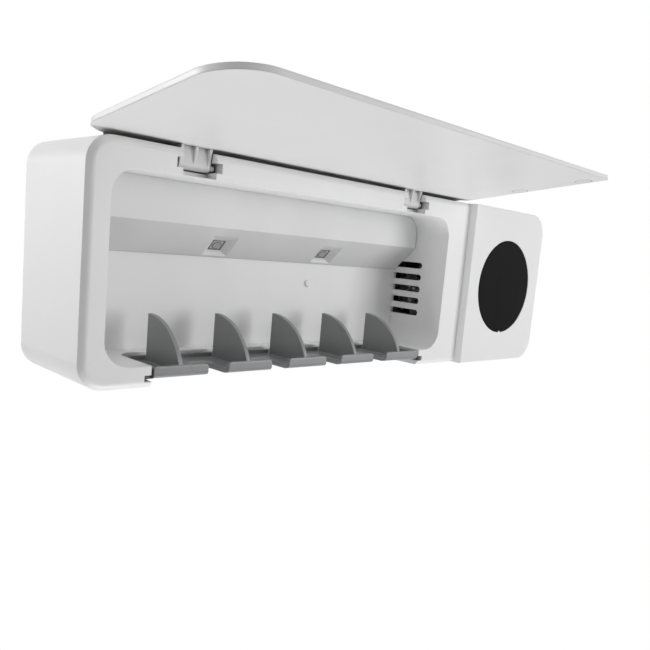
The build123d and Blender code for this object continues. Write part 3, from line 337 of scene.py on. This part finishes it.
holderLook = {
    "colour": (0.03, 0.03, 0.03), "shade": (0.04, 0.04, 0.041),
    "flowStretch": (1, 1, 0.3), "flowColour": (0.05, 0.05, 0.051),
    "paintedLightAndWearOnEdges": 0.4, "paintedLightAndWearEdgeColour": (0.08, 0.08, 0.082), "edgeRadius": 0.0002,
    "roughness": 0.55, "grainSize": 0.0006, "grainDepth": 0.00003, "shine": 0.4,
}
dress(("battery_holder",), mouldedPlastic("holderPlastic", holderLook)[0])
print("dark pieces dressed")

boardLook = {
    "mask": (0.012, 0.11, 0.045), "maskShade": (0.010, 0.085, 0.035), "weaveScale": 1400.0,
    "trace": (0.03, 0.19, 0.07), "trackPitch": 0.0012, "trackRange": (0.45, 0.55),
    "areaTracks": 4.0, "areaJitter": 0.7, "areaRange": (0.28, 0.34),
    "pad": (0.72, 0.62, 0.35), "padPitch": 0.00254, "padEdge": (0.000495, 0.000605),
    "rowStretch": (1, 0.01, 0.25), "rowScale": 120.0, "rowRange": (0.56, 0.6),
    "roughness": (0.22, 0.36), "edgeRadius": 0.0001, "copperDepth": 0.00003, "copperStrength": 0.6,
}


def boardTracks(tree, place, look):
    # parallel tracks within each area, cut where two areas meet
    bandSpan = 0.31  # a wave texture's bands stand this far apart at scale 1
    areas = tree.nodes.new("ShaderNodeTexVoronoi")
    areas.distance = "CHEBYCHEV"
    areas.inputs["Scale"].default_value = 1.0 / (look["areaTracks"] * look["trackPitch"])
    areas.inputs["Randomness"].default_value = look["areaJitter"]
    tree.links.new(place, areas.inputs["Vector"])
    lines = tree.nodes.new("ShaderNodeTexWave")
    lines.wave_type = "BANDS"
    lines.bands_direction = "X"
    lines.inputs["Scale"].default_value = bandSpan / look["trackPitch"]
    lines.inputs["Distortion"].default_value = 0.0
    tree.links.new(areas.outputs["Position"], lines.inputs["Vector"])
    ridges = spread(tree, areas.outputs["Distance"], 1.0, 0.0, *look["areaRange"])
    bands = spread(tree, lines.outputs["Fac"], 0.0, 1.0, *look["trackRange"])
    return combine(tree, "MULTIPLY", bands, ridges)


def boardPads(tree, place, look):
    # round pads on a square grid seen along Y, shown only in some rows
    pitch = look["padPitch"]
    shifted = vectorStep(tree, "ADD", place, (1.0, 1.0, 1.0)).outputs["Vector"]
    cells = vectorStep(tree, "MODULO", shifted, (pitch, pitch, pitch)).outputs["Vector"]
    flat = vectorStep(tree, "MULTIPLY", cells, (1.0, 0.0, 1.0)).outputs["Vector"]
    reach = vectorStep(tree, "DISTANCE", flat, (pitch / 2, 0.0, pitch / 2)).outputs["Value"]
    dots = spread(tree, reach, 1.0, 0.0, *look["padEdge"])
    rows = noiseField(tree, objectPlace(tree, look["rowStretch"]), look["rowScale"], detail=1.0)
    return combine(tree, "MULTIPLY", dots, spread(tree, rows, 0.0, 1.0, *look["rowRange"]))


def boardLaminate(look):
    # solder mask over copper tracks, with rows of plated pads
    material, tree, shader = newMaterial("boardLaminate")
    place = objectPlace(tree)
    weave = noiseField(tree, place, look["weaveScale"])
    mask = mixColours(tree, weave, look["mask"], look["maskShade"])
    tracks = boardTracks(tree, place, look)
    pads = boardPads(tree, place, look)
    colour = mixColours(tree, tracks, mask, look["trace"])
    tree.links.new(mixColours(tree, pads, colour, look["pad"]), shader.inputs["Base Color"])
    tree.links.new(pads, shader.inputs["Metallic"])
    tree.links.new(spread(tree, weave, *look["roughness"]), shader.inputs["Roughness"])
    rounded = roundedNormal(tree, look["edgeRadius"])
    raised = combine(tree, "ADD", tracks, pads)
    normal = bumpFrom(tree, raised, look["copperDepth"], look["copperStrength"], rounded)
    tree.links.new(normal, shader.inputs["Normal"])
    return material


dress(("control_board", "lid_sensor", "lamp_board", "main_board"), boardLaminate(boardLook))

screwLook = {
    "colour": (0.60, 0.60, 0.615), "shade": (0.46, 0.46, 0.475), "spotColour": (0.40, 0.39, 0.38),
    "hollowShadeColour": (0.05, 0.05, 0.05), "hollowShadeReach": 0.0008, "lineStretch": (1, 1, 1),
    "roughness": 0.32, "edgeRadius": 0.00015,
}
dress(("control_screws", "cover_screws", "main_screws"), machinedMetal("screwSteel", screwLook))

fanScrewLook = {
    "colour": (0.05, 0.05, 0.053), "shade": (0.035, 0.035, 0.037), "spotColour": (0.08, 0.08, 0.08),
    "hollowShadeColour": (0.01, 0.01, 0.01), "hollowShadeReach": 0.0008, "lineStretch": (1, 1, 1),
    "roughness": 0.4, "edgeRadius": 0.00015,
}
dress(("fan_screws",), machinedMetal("fanScrewBlack", fanScrewLook))

pinLook = {
    "colour": (0.66, 0.66, 0.67), "shade": (0.55, 0.55, 0.56), "spotColour": (0.48, 0.47, 0.46),
    "hollowShadeColour": (0.10, 0.10, 0.10), "hollowShadeReach": 0.0005, "lineStretch": (0.04, 1, 1),
    "roughness": 0.22, "edgeRadius": 0.0001,
}
dress(("hinge_pins",), machinedMetal("pinSteel", pinLook))

catchLook = {
    "colour": (0.72, 0.70, 0.66), "shade": (0.66, 0.645, 0.61), "spotColour": (0.55, 0.53, 0.50),
    "hollowShadeColour": (0.15, 0.15, 0.14), "hollowShadeReach": 0.0005, "lineStretch": (1, 1, 1),
    "roughness": 0.18, "edgeRadius": 0.0002,
}
dress(("catch_magnets",), machinedMetal("catchNickel", catchLook))

lidMagnetLook = {
    "colour": (0.80, 0.80, 0.795), "shade": (0.76, 0.76, 0.755),
    "flowStretch": (1, 1, 1), "flowColour": (0.72, 0.72, 0.715),
    # the near-black edge colour is a painted shade outline round each magnet
    "paintedLightAndWearOnEdges": 1.0, "paintedLightAndWearEdgeColour": (0.03, 0.03, 0.03), "edgeRadius": 0.0010,
    "roughness": 0.3, "grainSize": 0.0004, "grainDepth": 0.00001, "shine": 0.5,
}
dress(("lid_magnets",), mouldedPlastic("lidMagnetCoat", lidMagnetLook)[0])

socketLook = {
    "colour": (0.68, 0.68, 0.69), "shade": (0.58, 0.58, 0.595), "spotColour": (0.50, 0.50, 0.51),
    "hollowShadeColour": (0.03, 0.03, 0.03), "hollowShadeReach": 0.0015, "lineStretch": (1, 1, 0.05),
    "roughness": 0.26, "edgeRadius": 0.00015,
}
dress(("charging_socket",), machinedMetal("socketSteel", socketLook))
print("boards, metal pieces and magnets dressed")

lampLook = {
    "colour": (0.82, 0.815, 0.80), "shade": (0.76, 0.755, 0.74),
    "flowStretch": (1, 1, 1), "flowColour": (0.70, 0.695, 0.68),
    # the near-black edge colour is a painted shade outline round each lamp
    "paintedLightAndWearOnEdges": 1.0, "paintedLightAndWearEdgeColour": (0.02, 0.02, 0.021), "edgeRadius": 0.0009,
    "roughness": 0.6, "grainSize": 0.00015, "grainDepth": 0.00001, "shine": 0.4,
    "gapShadeColour": (0.02, 0.02, 0.021), "gapShadeReach": 0.003,
}
dress(("uv_lamps",), mouldedPlastic("lampCeramic", lampLook)[0])

windowLook = {
    "tint": (0.66, 0.663, 0.68), "rim": (0.03, 0.031, 0.035), "rimReach": 0.0005,
    "roughness": (0.048, 0.128), "clearness": 0.3, "bending": 1.46, "edgeRadius": 0.00015,
    "hazeScale": 2200.0, "hazeDepth": 0.000002, "hazeStrength": 0.4,
}


def windowGlass(look):
    # small quartz window, darker round its rim, with a polishing haze
    material, tree, shader = newMaterial("windowGlass")
    rounded = roundedNormal(tree, look["edgeRadius"])
    darkRim = edgeMask(tree, roundedNormal(tree, look["rimReach"]))
    haze = noiseField(tree, objectPlace(tree), look["hazeScale"], detail=3.0)
    tree.links.new(mixColours(tree, darkRim, look["tint"], look["rim"]), shader.inputs["Base Color"])
    tree.links.new(spread(tree, haze, *look["roughness"]), shader.inputs["Roughness"])
    normal = bumpFrom(tree, haze, look["hazeDepth"], look["hazeStrength"], rounded)
    tree.links.new(normal, shader.inputs["Normal"])
    shader.inputs["Transmission Weight"].default_value = look["clearness"]
    shader.inputs["IOR"].default_value = look["bending"]
    return material


dress(("lamp_windows",), windowGlass(windowLook))

cellLook = {
    "wrap": (0.03, 0.12, 0.30), "wrapShade": (0.022, 0.09, 0.24), "metal": (0.62, 0.61, 0.59),
    "wrapTop": 0.0314, "wrapBottom": -0.0318, "wrapEdge": 0.0002, "cloudScale": 60.0,
    "roughness": (0.22, 0.42), "edgeRadius": 0.0004,
    "creaseStretch": (1, 1, 0.15), "creaseScale": 500.0, "creaseDepth": 0.00004, "creaseStrength": 0.4,
}


def cellWrap(look):
    # shrink film with fine creases, open over the steel at both ends
    material, tree, shader = newMaterial("cellWrap")
    place = objectPlace(tree)
    height = axisOf(tree, place, "Z")
    above = spread(tree, height, 0.0, 1.0, look["wrapTop"], look["wrapTop"] + look["wrapEdge"])
    below = spread(tree, height, 1.0, 0.0, look["wrapBottom"] - look["wrapEdge"], look["wrapBottom"])
    bare = combine(tree, "ADD", above, below)
    clouds = noiseField(tree, place, look["cloudScale"], detail=3.0)
    film = mixColours(tree, clouds, look["wrap"], look["wrapShade"])
    tree.links.new(mixColours(tree, bare, film, look["metal"]), shader.inputs["Base Color"])
    tree.links.new(bare, shader.inputs["Metallic"])
    creasePlace = objectPlace(tree, look["creaseStretch"])
    creases = noiseField(tree, creasePlace, look["creaseScale"], detail=3.0, roughness=0.6)
    tree.links.new(spread(tree, creases, *look["roughness"]), shader.inputs["Roughness"])
    rounded = roundedNormal(tree, look["edgeRadius"])
    normal = bumpFrom(tree, creases, look["creaseDepth"], look["creaseStrength"], rounded)
    tree.links.new(normal, shader.inputs["Normal"])
    return material


dress(("battery_cell",), cellWrap(cellLook))
print("lamps and cell dressed")

cameraFit = {
    "place": (-0.22666, -0.24717, 0.01103), "right": (0.7099, -0.6987, 0.0890),
    "up": (0.0265, 0.1529, 0.9878), "lens": 38.07, "sensor": 36.0, "shift": (-0.0091, 0.0206),
    "nearest": 0.01,
}


def placeCamera(fit):
    data = bpy.data.cameras.new("photoCamera")
    data.sensor_width = fit["sensor"]
    data.lens = fit["lens"]
    data.shift_x, data.shift_y = fit["shift"]
    data.clip_start = fit["nearest"]
    camera = bpy.data.objects.new("photoCamera", data)
    bpy.context.scene.collection.objects.link(camera)
    rightWay = Vector(fit["right"]).normalized()
    backWay = rightWay.cross(Vector(fit["up"])).normalized()
    turn = Matrix((rightWay, backWay.cross(rightWay), backWay)).transposed().to_4x4()
    camera.matrix_world = Matrix.Translation(fit["place"]) @ turn
    bpy.context.scene.camera = camera


placeCamera(cameraFit)
print("camera placed")

stageLook = {"height": -0.60, "size": 6.0, "colour": (0.80, 0.80, 0.80), "roughness": 0.9}


def paleFloor(look):
    # plain floor: matt to the lamps, and even white to the camera
    mesh = bpy.data.meshes.new("paleFloor")
    build = bmesh.new()
    place = Matrix.Translation((0, 0, look["height"]))
    bmesh.ops.create_grid(build, x_segments=1, y_segments=1, size=look["size"] / 2, matrix=place)
    build.to_mesh(mesh)
    build.free()
    floor = bpy.data.objects.new("paleFloor", mesh)
    bpy.context.scene.collection.objects.link(floor)
    material, tree, shader = newMaterial("floorPaint")
    shader.inputs["Base Color"].default_value = look["colour"] + (1.0,)
    shader.inputs["Roughness"].default_value = look["roughness"]
    path = tree.nodes.new("ShaderNodeLightPath")
    glow = tree.nodes.new("ShaderNodeEmission")
    mix = tree.nodes.new("ShaderNodeMixShader")
    tree.links.new(path.outputs["Is Camera Ray"], mix.inputs[0])
    tree.links.new(shader.outputs["BSDF"], mix.inputs[1])
    tree.links.new(glow.outputs["Emission"], mix.inputs[2])
    tree.links.new(mix.outputs["Shader"], tree.nodes["Material Output"].inputs["Surface"])
    mesh.materials.append(material)
    return floor


paleFloor(stageLook)

roomLook = {"colour": (1.0, 1.0, 1.0), "onSurfaces": 0.305, "seen": 1.0}


def paleRoom(look):
    # even white to the camera, in reflections and through glass, dimmer as light on matt surfaces
    world = bpy.data.worlds.new("paleRoom")
    world.use_nodes = True
    tree = world.node_tree
    path = tree.nodes.new("ShaderNodeLightPath")
    seen = combine(tree, "MAXIMUM", path.outputs["Is Camera Ray"], path.outputs["Is Glossy Ray"])
    seen = combine(tree, "MAXIMUM", seen, path.outputs["Is Transmission Ray"])
    strength = spread(tree, seen, look["onSurfaces"], look["seen"])
    background = tree.nodes["Background"]
    background.inputs["Color"].default_value = look["colour"] + (1.0,)
    tree.links.new(strength, background.inputs["Strength"])
    bpy.context.scene.world = world


paleRoom(roomLook)

lampsLook = {
    "leftLamp": {
        "place": (-0.90, 0.75, 0.22), "target": (-0.13, -0.02, 0.0),
        "size": (0.40, 0.40), "power": 6.8,
    },
    "topLamp": {
        "place": (-0.05, 0.30, 0.90), "target": (-0.03, -0.03, 0.0),
        "size": (0.50, 0.40), "power": 2.0,
    },
    "fillLamp": {
        "place": (-0.90, -0.42, 0.02), "target": (0.0, -0.05, 0.0),
        "size": (0.40, 0.40), "power": 0.2,
    },
    "rightLamp": {
        "place": (0.32, -0.50, 0.08), "target": (0.0, -0.04, 0.0),
        "size": (0.30, 0.36), "power": 1.35,
    },
    "underLamp": {
        "place": (-0.02, -0.16, -0.55), "target": (-0.02, -0.09, 0.04),
        "size": (0.40, 0.20), "power": 1.65,
    },
}


def areaLamp(name, look):
    data = bpy.data.lights.new(name, "AREA")
    data.shape = "RECTANGLE"
    data.size, data.size_y = look["size"]
    data.energy = look["power"]
    lamp = bpy.data.objects.new(name, data)
    bpy.context.scene.collection.objects.link(lamp)
    away = (Vector(look["place"]) - Vector(look["target"])).normalized()
    turn = away.to_track_quat("Z", "Y").to_matrix().to_4x4()
    lamp.matrix_world = Matrix.Translation(look["place"]) @ turn


for name, look in lampsLook.items():
    areaLamp(name, look)
print("stage and lamps set")

bpy.context.scene.view_settings.view_transform = "Standard"
